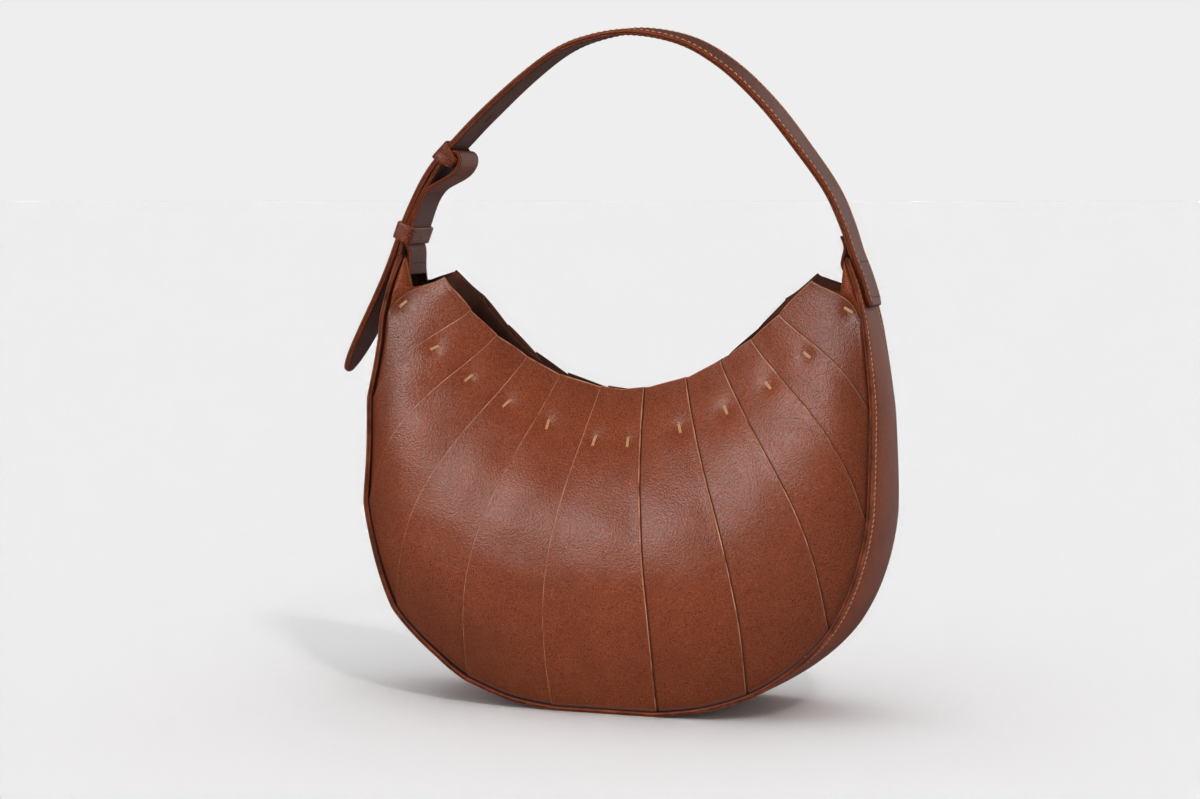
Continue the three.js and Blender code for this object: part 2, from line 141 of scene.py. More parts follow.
# The long strap's route, as shares of its half width and of ARCH_RISE
ARCH = (
    (-1.29, -0.645), (-1.18, -0.42), (-1.06, -0.143), (-1.005, 0.012), (-0.968, 0.119),
    (-0.888, 0.298), (-0.826, 0.396), (-0.741, 0.493), (-0.648, 0.596), (-0.434, 0.805),
    (-0.279, 0.925), (-0.161, 0.977), (0.03, 1.009), (0.262, 0.96), (0.435, 0.85),
    (0.608, 0.671), (0.768, 0.448), (0.893, 0.247), (0.957, 0.087),
)
LEAN_FROM, LEAN_TO = 0.36, 0.93

# The loop strap beside the long one: the share of the way from keeper to knot, and the share of CURL_REACH
CURL = (
    (0.42, 0.34), (0.58, 0.45), (0.7, 0.7), (0.84, 0.95),
    (0.96, 1.01), (1.07, 0.87), (1.115, 0.6), (1.1, 0.36),
)
OUTER_LEG = ((1, 0.24), (0.88, 0.24), (0.75, 0.29), (0.6, 0.29), (0.42, 0.25))

# Tack stitches, by column and row, on one half of a face
TACKS = ((0.57, 0.153), (1.74, 0.138), (2.71, 0.148), (3.71, 0.195), (4.75, 0.316), (5.88, 0.63))
TACK_LENGTH = 7
TACK_SPREAD = 0.9

CUT_ROUND = 0.35  # how far a cut edge of leather is rounded
CUT_AND_HIGHLIGHT_REACH = 0.75  # how far the pale cut, partly a painted highlight, reaches onto the face
EDGE_LIFT = 0.35  # how far a petal's free edge curls up
EDGE_LIFT_WIDTH = 3.5
PUFF = 0.5  # how far a petal stands off between its seams
GROOVE_DEPTH = 0.6  # how far the faces sink beside the rim
GROOVE_WIDTH = 2.4
SHADE_REACH = 75  # how far the painted shade at a face's rim reaches in
CONTACT, CONTACT_WIDTH = 0.6, 0.6  # the painted shadow beside a petal's free edge
SHADE_IN_MIDDLE, SHADE_SPREAD = 0.3, 2.5  # the painted shade's share on the middle petal, and the columns it grows over
# Painted shade along the mouth's edge: its strength, and how far it reaches
MOUTH_SHADE, MOUTH_SHADE_WIDTH = 0.35, 22
# How far the painted shade in the groove beside the rim reaches
RIM_SHADE_WIDTH = 1.6
UNDERSIDE = 0.6  # how round a petal's lower edge is, beside its upper one
WAVE_DEPTH = 0.5
WAVES = ((1, 70), (0.4, 28))  # shares of that, and wavelengths
DIMPLE = 2.2  # how far the tacks pull the leather in
PUCKER = ((0.5, 9), (0.5, 3.5))  # shares of that, and the sizes that they spread over
FLARE = 3.6  # how far the front mouth's edge turns out at the left
FLARE_FROM, FLARE_TO, FLARE_WIDTH = 3.3, 6.1, 9
HORN_ROLL = 3.4  # how far a horn's middle stands out

# Light and camera
WORLD_LIGHT, WORLD_SHINE = 0.5, 0.12  # what lights the bag, and what its leather mirrors
PALE = 238  # the screen value behind the bag
FLOOR_HALF = 400_000
CAMERA_AT = (0.451, -1.431, 0.306)  # in metres
CAMERA_TURN, CAMERA_DOWN = 18.10, 4.62
CAMERA_LENS, CAMERA_SENSOR = 74.25, 36
# Lamps: name, turn, height, strength, width, whether it is mirrored, and what it does to the floor
LAMPS = (
    ("key", -30, 26, 1.45, 15, True, "EXCLUDE"),
    ("front", 8, 14, 0.4, 30, False, "EXCLUDE"),
    ("rim", 150, 8, 0.3, 60, True, "EXCLUDE"),
    ("side", 41, 44, 0.65, 7, False, None),
    ("floor_light", 0, 90, 0.78, 70, False, "INCLUDE"),
)

FRONT, BACK = -1, 1


def smooth(value):
    t = np.clip(value, 0, 1)
    return t * t * (3 - 2 * t)


def mix(a, b, share):
    return a + (b - a) * share


def unit(vectors):
    return vectors / np.linalg.norm(vectors, axis=-1, keepdims=True)


def ripple(points, size, seed):
    """Soft seeded waves from about -1 to 1, for a wavelength in millimetres."""
    rng = np.random.default_rng(seed)
    total = 0
    for _ in range(9):
        way = rng.normal(size=3)
        way /= np.linalg.norm(way) * size * rng.uniform(0.7, 1.6)
        total = total + np.sin(2 * np.pi * (points @ way) + rng.uniform(0, 2 * np.pi))
    return total / 3


class Line:
    """A line of points in the XZ plane, read by arc length."""

    def __init__(self, x, z):
        steps = np.hypot(np.diff(x), np.diff(z))
        keep = np.concatenate([[True], steps > 1e-9])
        self.x, self.z = x[keep], z[keep]
        self.at = np.concatenate([[0], np.cumsum(np.hypot(np.diff(self.x), np.diff(self.z)))])
        self.length = self.at[-1]
        self.tx, self.tz = np.gradient(self.x, self.at), np.gradient(self.z, self.at)

    def point(self, u):
        s = np.clip(u, 0, 1) * self.length
        return np.interp(s, self.at, self.x), np.interp(s, self.at, self.z)

    def tangent(self, u):
        s = np.clip(u, 0, 1) * self.length
        tx, tz = np.interp(s, self.at, self.tx), np.interp(s, self.at, self.tz)
        n = np.hypot(tx, tz)
        return tx / n, tz / n

    def beside(self, u, distance):
        """The point at a distance on the side of the line that faces the bag's middle."""
        (x, z), (tx, tz) = self.point(u), self.tangent(u)
        return x + distance * tz, z - distance * tx


def outline_line():
    tip = math.asin(((GUSSET_TOP - WIDEST_HEIGHT) / SHOULDER_RISE) ** (OUTLINE_POWER / 2))
    angle = math.pi - tip + np.linspace(0, 1, 4001) * (math.pi + 2 * tip)
    c, s = np.cos(angle), np.sin(angle)
    reach = np.where(s < 0, WIDEST_HEIGHT + SETTLE, SHOULDER_RISE)
    x = HALF_WIDTH * np.sign(c) * np.abs(c) ** (2 / OUTLINE_POWER)
    z = WIDEST_HEIGHT + reach * np.sign(s) * np.abs(s) ** (2 / OUTLINE_POWER)
    return Line(x, np.maximum(z, 0))


OUTLINE = outline_line()
HALF_OUTLINE = OUTLINE.length / 2


def dent(share):
    """How far the rim is drawn in between two seams' ends."""
    covered = np.clip(np.abs(share) / PETAL_COVER, 0, 1)
    between = np.interp(covered, SEAM_RIM, np.arange(LAST + 1)) % 1
    start = (np.abs(share) - DENT_FROM) / (DENT_FULL - DENT_FROM)
    ease = np.minimum(start, (DENT_TO - np.abs(share)) / (DENT_TO - DENT_FADE))
    depth = np.where(share < 0, LEFT_DENT, RIGHT_DENT) * np.clip(ease, 0, 1)
    return depth * mix(DENT_AT_SEAM, 1, np.sin(np.pi * between))


def rim_point(share, out):
    x, z = OUTLINE.point(0.5 + share / 2)
    tx, tz = OUTLINE.tangent(0.5 + share / 2)
    reach = out - dent(share)
    return x + reach * tz, z - reach * tx


def swell(share):
    along = (np.abs(share) - SWELL_FROM) / (SWELL_TO - SWELL_FROM)
    return GUSSET_BULGE * np.sin(np.pi * np.clip(along, 0, 1))


def gusset_half(z):
    down = (GUSSET_TOP - z) / GUSSET_TOP
    return GUSSET_HALF_TOP + (GUSSET_HALF_BOTTOM - GUSSET_HALF_TOP) * down * (1.5 - 0.5 * down)


def seam_value(column, values):
    return np.interp(np.clip(np.abs(column), 0, LAST), np.arange(LAST + 1), values)


class Face:
    """One face of the bag: its points by column and row, on one smooth surface that its layers follow."""

    def __init__(self, side, peak_height, drop, shoulder, shift, seed, flare):
        self.side, self.shoulder, self.shift, self.seed, self.flare = side, shoulder, shift, seed, flare
        self.height = MOUTH_HEIGHT - drop
        self.rise = peak_height - self.height
        self.tip = rim_point(1 - TIP_CLEARANCE / HALF_OUTLINE, -GUSSET_WALL - 3 * GAP)

    def mouth(self, column):
        share = seam_value(column, SEAM_MOUTH)
        x = np.sign(column) * share * PEAK_HALF_SPAN + self.shift * share**2
        z = self.height + self.rise * share**MOUTH_POWER + self.shoulder * np.sin(np.pi * share**4)
        step = np.clip(np.abs(column) - LAST, 0, 1) * (len(HORN_UP) - 1)
        across, up = (np.interp(step, np.arange(len(HORN_UP)), values) for values in (HORN_ACROSS, HORN_UP))
        return mix(x, np.sign(column) * self.tip[0], across), mix(z, self.tip[1], up)

    def rim_share(self, column):
        c = np.abs(column)
        horn = mix(PETAL_COVER, 1 - TIP_CLEARANCE / HALF_OUTLINE, c - LAST)
        return np.sign(column) * np.where(c <= LAST, PETAL_COVER * seam_value(c, SEAM_RIM), horn)

    def reach(self, column):
        """The distance from mouth to rim."""
        (ax, az), (bx, bz) = self.mouth(column), rim_point(self.rim_share(column), -GUSSET_WALL - GAP)
        return np.hypot(bx - ax, bz - az)

    def plain(self, column, row):
        """The panel's outer surface without its waves: x, half depth and z."""
        (ax, az), (bx, bz) = self.mouth(column), rim_point(self.rim_share(column), -GUSSET_WALL - GAP)
        reach = np.hypot(bx - ax, bz - az)
        bend = np.sin(np.pi * np.clip(row, 0, 1) ** SEAM_SAG)
        horn = np.clip(np.abs(column) - LAST, 0, 1)
        bow = np.sign(column) * SEAM_BOW * seam_value(column, SEAM_BEND) * (1 - horn) * bend / reach
        x = mix(ax, bx, row) - (bz - az) * bow
        z = mix(az, bz, row) + (bx - ax) * bow
        share = seam_value(column, SEAM_MOUTH)
        stack = STACK_ROOM * (2 * GAP + 2 * PETAL_THICKNESS)
        rim = gusset_half(bz) - LIP - np.clip(1 - COVER_FADE * horn, 0, 1) * stack
        mouth = mix(mix(MOUTH_HALF_DEPTH, PEAK_HALF_DEPTH, share**2), GUSSET_HALF_TOP - LIP, horn)
        belly = BELLY_DEPTH * (1 - share**2) ** BELLY_POWER
        return x, mix(mouth, rim, row) + belly * np.sin(np.pi * np.clip(row, -0.1, 1)), z

    def stretch(self, column, row):
        """How much farther along Y a layer lies than it does square to the surface."""
        d = 0.02
        c, r = np.clip(column, -LAST, LAST), np.clip(row, 0.02, 0.98)
        across = np.stack(self.plain(c + d, r), -1) - np.stack(self.plain(c - d, r), -1)
        down = np.stack(self.plain(c, r + d), -1) - np.stack(self.plain(c, r - d), -1)
        normal = np.cross(across, down)
        return np.minimum(np.linalg.norm(normal, axis=-1) / np.abs(normal[..., 1]), STEEPEST)

    def pulled(self, column, row):
        """How far the leather is pulled in at the tack stitches, from 0 to 1."""
        depth = np.zeros(np.shape(row))
        here = np.stack(self.plain(column, row), -1)
        for c, r in TACKS:
            for sign in (-1, 1):
                there = np.stack(self.plain(np.array(sign * c), np.array(r)), -1)
                away = np.linalg.norm(here - there, axis=-1)
                dip = sum(part * np.exp(-((away / size) ** 2)) for part, size in PUCKER)
                depth = np.maximum(depth, dip)
        return depth

    def point(self, column, row, height):
        """A point at a height above the panel's outer surface, with waves, puckers and a turned edge."""
        column, row, height = np.broadcast_arrays(column, row, height)
        x, y, z = self.plain(column, row)
        inside = smooth(row / 0.2) * smooth((1 - row) / 0.15)
        flat = np.stack([x, np.zeros_like(x), z], -1)
        waves = sum(part * ripple(flat, size, self.seed + i) for i, (part, size) in enumerate(WAVES))
        y = y + WAVE_DEPTH * inside * waves
        y = y - GROOVE_DEPTH * np.exp(-(((1 - row) * self.reach(column) / GROOVE_WIDTH) ** 2))
        out = self.flare * smooth((-column - FLARE_FROM) / 0.8) * smooth((FLARE_TO + column) / 0.5)
        y = y + out * np.exp(-np.clip(row, 0, 1) * self.reach(column) / FLARE_WIDTH)
        rolled = smooth((np.abs(column) - LAST) / 0.3)
        y = y + HORN_ROLL * rolled * (np.sqrt(np.clip(1 - (2 * np.clip(row, 0, 1) - 1) ** 2, 0, 1)) - 0.75)
        y = y - DIMPLE * self.pulled(column, row) + height * self.stretch(column, row)
        return np.stack([x, self.side * y, z], -1)

    def normal(self, column, row, height):
        d = 0.01
        across = self.point(column + d, row, height) - self.point(column - d, row, height)
        down = self.point(column, row + d, height) - self.point(column, row - d, height)
        n = unit(np.cross(across, down))
        return n * np.sign(n[..., 1:2]) * self.side

    def top_row(self, column, k):
        """The row of a petal's straight top edge between seams k and k + 1."""
        c, sign = np.abs(column), np.where(column < 0, -1, 1)
        (fx, fz), (tx, tz), (px, pz) = self.mouth(sign * k), self.mouth(sign * (k + 1)), self.mouth(column)
        f = (px - fx) / (tx - fx)
        rise = mix(fz, tz, f) - pz + PETAL_RISE + CORNER_RISE * f
        rx, rz = rim_point(self.rim_share(sign * (k + 1.0)), 0)
        return np.where(c < k, 0, -rise / np.hypot(tx - rx, tz - rz))


def tuck(face, k):
    a, b = rim_point(face.rim_share(float(k)), 0), rim_point(face.rim_share(k - 1.0), 0)
    return k - min(TUCK_WIDTH / math.hypot(a[0] - b[0], a[1] - b[1]), 0.3)


# Meshes
def rounding(distance, radius):
    """How far a rounded edge lies below the face at a distance from its border."""
    left = radius - np.clip(distance, 0, radius)
    return radius - np.sqrt(radius**2 - left**2)


def spread(count, size, near=(), far=()):
    """Shares of a size in mm: fixed distances near each end, and count even steps between."""
    size = np.asarray(size, float)[..., None]
    start = np.array([0.0, *near]) / size
    end = 1 - np.array([*far[::-1], 0.0]) / size
    inner = np.linspace(0, 1, count + 1)[1:-1]
    return np.concatenate([start, mix(start[..., -1:], end[..., :1], inner), end], -1)


def plate(top, bottom, ring=False):
    """The points and quads of a body between two grids, and each quad's part: 0 top, 1 bottom, 2 wall."""
    rows, columns = top.shape[:2]
    index = np.arange(rows * columns).reshape(rows, columns)
    lower = index + rows * columns
    wide = np.concatenate([index, index[:, :1]], 1) if ring else index
    wide_lower = wide + rows * columns

    def quads(a, b, c, d):
        return np.stack([a, b, c, d], -1).reshape(-1, 4)

    upper_quads = quads(wide[:-1, :-1], wide[:-1, 1:], wide[1:, 1:], wide[1:, :-1])
    lower_quads = quads(wide_lower[1:, :-1], wide_lower[1:, 1:], wide_lower[:-1, 1:], wide_lower[:-1, :-1])
    borders = [wide[0, ::-1], wide[-1]]
    if not ring:
        borders += [index[:, 0], index[::-1, -1]]
    walls = [quads(b[:-1], b[1:], b[1:] + rows * columns, b[:-1] + rows * columns) for b in borders]
    wall_quads = np.concatenate(walls)[:, ::-1]
    faces = np.concatenate([upper_quads, lower_quads, wall_quads])
    part = np.repeat([0, 1, 2], [len(upper_quads), len(lower_quads), len(wall_quads)])
    points = np.concatenate([top.reshape(-1, 3), bottom.reshape(-1, 3)])
    a, b, c, d = (points[faces[:, corner]] for corner in range(4))
    volume = np.sum(a * (np.cross(b, c) + np.cross(c, d)))
    outward = faces if volume > 0 else faces[:, ::-1]
    return points, outward.tolist(), part


def new_object(name, points, faces):
    """An object in the scene, from points in mm."""
    mesh = bpy.data.meshes.new(name)
    mesh.from_pydata((points * MM).tolist(), [], faces)
    made = bpy.data.objects.new(name, mesh)
    bpy.context.scene.collection.objects.link(made)
    return made


def piece(name, points, faces, materials, part=None, marks=None, nodes=()):
    """A smooth object that rides on the bag. marks are values by point that its material reads."""
    made = new_object(name, points, faces)
    mesh = made.data
    for material in materials:
        mesh.materials.append(material)
    if part is not None:
        mesh.polygons.foreach_set("material_index", np.minimum(part, len(materials) - 1).astype(np.int32))
    for mark, (top, bottom) in (marks or {}).items():
        values = np.concatenate([top.ravel(), bottom.ravel()]).astype(np.float32)
        mesh.attributes.new(mark, "FLOAT", "POINT").data.foreach_set("value", values)
    mesh.polygons.foreach_set("use_smooth", np.ones(len(faces), bool))
    mesh.update()
    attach(made, "root")
    if nodes:
        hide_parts(*nodes)
    return made


# Materials
class Graph:
    """A material's nodes."""

    def __init__(self, name):
        self.material = bpy.data.materials.new(name)
        self.material.use_nodes = True
        self.nodes, self.links = self.material.node_tree.nodes, self.material.node_tree.links
        self.nodes.clear()
        self.coords = self.add("ShaderNodeTexCoord").outputs["Object"]

    def add(self, kind, inputs=None, **settings):
        node = self.nodes.new(kind)
        for key, value in settings.items():
            setattr(node, key, value)
        for key, value in (inputs or {}).items():
            if isinstance(value, bpy.types.NodeSocket):
                self.links.new(value, node.inputs[key])
            else:
                node.inputs[key].default_value = value
        return node

    def noise(self, scale, detail=3, roughness=0.5, distortion=0):
        inputs = {"Vector": self.coords, "Scale": scale, "Detail": detail, "Roughness": roughness}
        return self.add("ShaderNodeTexNoise", {**inputs, "Distortion": distortion}).outputs["Fac"]

    def cells(self, scale):
        inputs = {"Vector": self.coords, "Scale": scale}
        return self.add("ShaderNodeTexVoronoi", inputs).outputs["Distance"]

    def span(self, value, low, high, to_low=0.0, to_high=1.0):
        inputs = {"Value": value, "From Min": low, "From Max": high, "To Min": to_low, "To Max": to_high}
        return self.add("ShaderNodeMapRange", inputs).outputs["Result"]

    def math(self, operation, a, b):
        return self.add("ShaderNodeMath", {0: a, 1: b}, operation=operation).outputs[0]

    def blend(self, share, a, b):
        """Mixes two colours, each a socket or screen values."""
        node = self.add("ShaderNodeMix", {"Factor": share}, data_type="RGBA")
        for socket, value in ((node.inputs[6], a), (node.inputs[7], b)):
            if isinstance(value, bpy.types.NodeSocket):
                self.links.new(value, socket)
            else:
                socket.default_value = (*linear(value), 1)
        return node.outputs[2]

    def attribute(self, name):
        return self.add("ShaderNodeAttribute", attribute_name=name).outputs["Fac"]

    def bump(self, height, distance, strength, normal=None):
        inputs = {"Height": height, "Distance": distance, "Strength": strength}
        if normal is not None:
            inputs["Normal"] = normal
        return self.add("ShaderNodeBump", inputs).outputs["Normal"]

    def finish(self, inputs):
        shader = self.add("ShaderNodeBsdfPrincipled", inputs)
        self.add("ShaderNodeOutputMaterial", {"Surface": shader.outputs[0]})
        return self.material


def linear(colour):
    """A colour given as screen values from 0 to 255, in Blender's own values."""
    values = [v / 255 for v in colour]
    return tuple(v / 12.92 if v <= 0.04045 else ((v + 0.055) / 1.055) ** 2.4 for v in values)


PORE, SPECK = (52, 20, 9), (176, 98, 62)
# Painted shade colours: the first darkens a face towards its rim and mouth, the second darkens creases and
# paints shade in grooves and beside free edges
RIM_SHADE_COLOUR, CREASE_AND_SHADE_TONE = (70, 28, 10), (34, 18, 13)


def leather(name, deep, middle, warm, cut, gloss=0.33, grain=1.0, specular=0.32):
    """Smooth waxed leather with a fine grain: cloudy colour, cut edges of their own colour and dark pores.
    The marks say where it is cut, with a pale cut that is partly a painted highlight, where painted shade
    darkens it towards the rim and mouth, and where it is creased or has painted shade."""
    g = Graph(name)
    cloud = g.noise(13, 4, 0.55, 0.6)
    mottle = g.noise(85, 6, 0.62)
    pores = g.cells(900)
    speck = g.noise(1700, 1, 0.5)
    tone = g.blend(g.span(cloud, 0.36, 0.62), deep, middle)
    tone = g.blend(g.span(mottle, 0.44, 0.74, 0, 0.6), tone, warm)
    tone = g.blend(g.span(pores, 0.0, 0.6, 0.55, 0), tone, deep)
    tone = g.blend(g.span(speck, 0.28, 0.55, 0.4, 0), tone, PORE)
    tone = g.blend(g.span(speck, 0.48, 0.72, 0, 0.45), tone, SPECK)
    edge = g.span(g.attribute("edge"), 0.2, 0.8)
    tone = g.blend(edge, tone, g.blend(g.span(mottle, 0.35, 0.65), cut, warm))
    tone = g.blend(g.span(g.attribute("rim_and_mouth_shade"), 0, 1, 0, 0.5), tone, RIM_SHADE_COLOUR)
    tone = g.blend(g.span(g.attribute("crease_and_shade"), 0.15, 0.9, 0, 0.8), tone, CREASE_AND_SHADE_TONE)
    clouded = g.span(cloud, 0.3, 0.7, gloss + 0.03, gloss - 0.03)
    shine = g.math("ADD", clouded, g.span(speck, 0.3, 0.7, -0.08, 0.08))
    shine = g.math("ADD", shine, g.math("MULTIPLY", edge, 0.15))
    shine = g.math("ADD", shine, g.math("MULTIPLY", g.attribute("crease_and_shade"), 0.5))
    relief = g.bump(g.noise(30, 3, 0.5), 0.0008, 0.15)
    relief = g.bump(mottle, 0.0004, 0.12, relief)
    relief = g.bump(g.math("ADD", pores, speck), 0.00016, 0.8 * grain, relief)
    inputs = {"Base Color": tone, "Roughness": shine, "Normal": relief, "Specular IOR Level": specular}
    return g.finish(inputs)


def suede(name, deep, light):
    """The napped inner side of leather."""
    g = Graph(name)
    fibre = g.noise(900, 5, 0.7, 1.5)
    tone = g.blend(g.span(g.noise(60, 4), 0.35, 0.65), deep, light)
    tone = g.blend(g.span(fibre, 0.4, 0.7, 0, 0.5), tone, light)
    relief = g.bump(fibre, 0.0003, 0.6)
    return g.finish({"Base Color": tone, "Roughness": 0.85, "Normal": relief, "Sheen Weight": 0.08,
                     "Specular IOR Level": 0.2})


def thread(name, dark, light):
    """Waxed thread with fine fibres."""
    g = Graph(name)
    fibre = g.noise(2600, 4, 0.6)
    tone = g.blend(g.span(fibre, 0.35, 0.65), dark, light)
    relief = g.bump(fibre, 0.0002, 0.5)
    return g.finish({"Base Color": tone, "Roughness": 0.55, "Normal": relief, "Sheen Weight": 0.15})


# The petals' pale cut colour is partly the raw cut's own tone and partly a painted highlight on the rounded
# edge
PETAL = leather("petal_leather", (108, 45, 19), (119, 51, 23), (130, 60, 29), cut=(214, 154, 116),
                gloss=0.34, specular=0.42)
PANEL = leather("panel_leather", (106, 42, 15), (118, 50, 21), (130, 60, 28), cut=(150, 90, 60))
GUSSET = leather("gusset_leather", (108, 46, 23), (122, 55, 31), (136, 66, 39), cut=(84, 38, 24),
                 gloss=0.42, specular=0.26)
STRAP = leather("strap_leather", (88, 36, 21), (102, 46, 28), (116, 56, 36), cut=(150, 92, 62), gloss=0.34)
STRAP_EDGE = leather("strap_edge_paint", (92, 38, 18), (108, 48, 26), (120, 58, 32), cut=(110, 52, 32),
                     gloss=0.36, grain=0.4)
BAND = leather("band_leather", (74, 30, 16), (88, 38, 22), (104, 48, 29), cut=(150, 92, 62), gloss=0.3)
LINING = leather("strap_lining", (66, 44, 42), (84, 60, 59), (100, 76, 76), cut=(84, 60, 56),
                 gloss=0.5, grain=1.3, specular=0.2)
# Dark brown suede for the inner sides: partly its own colour, partly painted shade inside the bag
SHADED_INSIDE = suede("inside_suede_and_shade", (52, 26, 16), (82, 44, 29))
TAN_THREAD = thread("tan_thread", (150, 98, 64), (222, 172, 124))
RUST_THREAD = thread("rust_thread", (170, 96, 54), (226, 150, 98))
DARK_THREAD = thread("dark_thread", (26, 14, 11), (52, 30, 24))


# The faces' layers
FACES = {
    "front": Face(FRONT, FRONT_PEAK_HEIGHT, drop=0, shoulder=0, shift=FRONT_SHIFT, seed=11, flare=FLARE),
    "back": Face(BACK, BACK_PEAK_HEIGHT, BACK_DROP, BACK_SHOULDER, shift=0, seed=23, flare=0),
}
EDGE_STEPS = (0.1, 0.22, CUT_ROUND, CUT_AND_HIGHLIGHT_REACH, 1.4)
PETAL_ROWS = 72
PETAL_COLUMNS = 20
PETAL_WIDTH = 24  # about, for the lines near its edges


def edge_share(*distances):
    nearest = np.minimum.reduce(np.broadcast_arrays(*distances))
    return np.clip(1 - nearest / CUT_AND_HIGHLIGHT_REACH, 0, 1)


def petal(name, face, k, sign, columns, across, level):
    """A petal between two grids of points. across gives each point's distance from the cut edges in mm."""
    reach = face.reach(columns)
    rows = spread(PETAL_ROWS, reach, EDGE_STEPS)
    first = face.top_row(columns, k)[:, None]
    row = mix(first, 1, rows)
    column = np.broadcast_to(columns[:, None], row.shape)
    from_top = (row - first) * reach[:, None]
    side = across(column, row)
    drop = np.maximum(rounding(from_top, CUT_ROUND), rounding(side, CUT_ROUND))
    s = np.clip(np.abs(column) - k, 0, 1) if k else 0.5 + 0.5 * column
    puff = PUFF * np.sin(np.pi * s) * mix(0.4, 1, smooth(row / 0.12)) * smooth((1 - row) / 0.1)
    curled = np.exp(-((np.minimum(side, from_top) / EDGE_LIFT_WIDTH) ** 2))
    lift = EDGE_LIFT * curled * smooth((1 - row) / 0.05)
    base = GAP + level(np.abs(column)) * (PETAL_THICKNESS + GAP) + puff + lift
    top = face.point(column, row, base + PETAL_THICKNESS - drop)
    bottom = face.point(column, row, base + drop * UNDERSIDE)
    edge = edge_share(from_top, side)
    points, faces, part = plate(top, bottom)
    from_rim = (1 - row) * reach[:, None]
    # Painted shade in the groove beside the rim, and below it a painted shadow beside the covering petal's
    # edge
    shade = np.exp(-((from_rim / RIM_SHADE_WIDTH) ** 2))
    # Painted shade: darker towards the rim, more so at the sides, and along the mouth's edge
    at_rim = mix(SHADE_IN_MIDDLE, 1, smooth(np.abs(column) / SHADE_SPREAD))
    at_rim = at_rim * (1 - smooth(from_rim / SHADE_REACH))
    painted_shade = np.maximum(at_rim, MOUTH_SHADE * (1 - smooth(from_top / MOUTH_SHADE_WIDTH)))
    if k:
        beside = seam_distance(face, k, sign)(column, row)
        shade = np.maximum(shade, CONTACT * np.exp(-((beside / CONTACT_WIDTH) ** 2)))
    marks = {"edge": (edge, edge), "crease_and_shade": (shade, shade), "rim_and_mouth_shade": (painted_shade, painted_shade)}
    return piece(f"{name}_skin", points, faces, [PETAL, SHADED_INSIDE, PETAL], part, marks, [name])


def seam_distance(face, seam, sign):
    """The distance in mm from a seam, for points near it."""

    def distance(column, row):
        near = np.stack(face.plain(np.full(column.shape, sign * float(seam)), row), -1)
        return np.linalg.norm(np.stack(face.plain(column, row), -1) - near, axis=-1)

    return distance


def side_columns(face, k):
    """Columns of the petal between seams k and k + 1, with lines close to its cut edge."""
    hidden = tuck(face, k)
    near_edge = np.array(EDGE_STEPS) / PETAL_WIDTH
    inner = np.linspace(k + near_edge[-1], k + 1 - near_edge[-1], PETAL_COLUMNS)
    inner = np.concatenate([[k, k + near_edge[-1] * 0.3, k + near_edge[-1] * 0.6], inner])
    return np.concatenate([[hidden, (hidden + k) / 2], inner, k + 1 - near_edge[-2::-1], [k + 1.0]])


def add_petals():
    for name, face in FACES.items():
        both = side_columns(face, 0)[2:]
        middle = np.concatenate([-both[:0:-1], both])
        one, other = seam_distance(face, 1, 1), seam_distance(face, 1, -1)
        petal(f"{name}_petal_middle", face, 0, 1, middle,
              lambda c, r, one=one, other=other: np.minimum(one(c, r), other(c, r)), np.ones_like)
        for side, sign in (("left", -1), ("right", 1)):
            for k in range(1, LAST):
                following = tuck(face, k + 1)
                climb = np.zeros_like if k + 1 == LAST else (
                    lambda c, k=k, following=following: smooth((c - k) / (following - k)))
                petal(f"{name}_petal_{side}_{k}", face, k, sign, sign * side_columns(face, k),
                      seam_distance(face, k + 1, sign), climb)


def add_panels():
    for name, face in FACES.items():
        half = np.concatenate([np.linspace(0, LAST, 61), np.linspace(LAST, LAST + 1, 33)[1:]])
        columns = np.concatenate([-half[:0:-1], half])
        reach = face.reach(columns)
        row = spread(40, reach, EDGE_STEPS)
        column = np.broadcast_to(columns[:, None], row.shape)
        from_top = row * reach[:, None]
        drop = rounding(from_top, 0.5)
        top = face.point(column, row, -drop)
        bottom = face.point(column, row, drop - PANEL_THICKNESS)
        points, faces, part = plate(top, bottom)
        edge = edge_share(from_top)
        piece(f"{name}_panel_skin", points, faces, [PANEL, SHADED_INSIDE, PANEL], part,
              {"edge": (edge, edge)}, [f"{name}_panel"])


# The gusset
RIM_BEAD = 0.3
RIM_WIDTH = 2.4
CHANNEL_AT = 3.9
CHANNEL_DEPTH, CHANNEL_WIDTH = 0.5, 1.3
RIM_SEWN = 0.965  # the sewn share of the rim
RIM_PITCH = 3.1
RIM_ROUND = 1.2
RIM_SEEN = 5  # how far the gusset's inner side is finished like its outer one


def gusset_out(share, a, half):
    """How far the gusset's outer surface stands out of the outline, with rim beads and sewn channels."""
    side = (1 - np.abs(a)) * half
    free = smooth((np.abs(share) - 0.12) / 0.15)
    bead = RIM_BEAD * free * np.exp(-((side / RIM_WIDTH) ** 4))
    channel = CHANNEL_DEPTH * np.exp(-(((side - CHANNEL_AT) / CHANNEL_WIDTH) ** 2))
    return swell(share) * (1 - a * a) + bead - channel


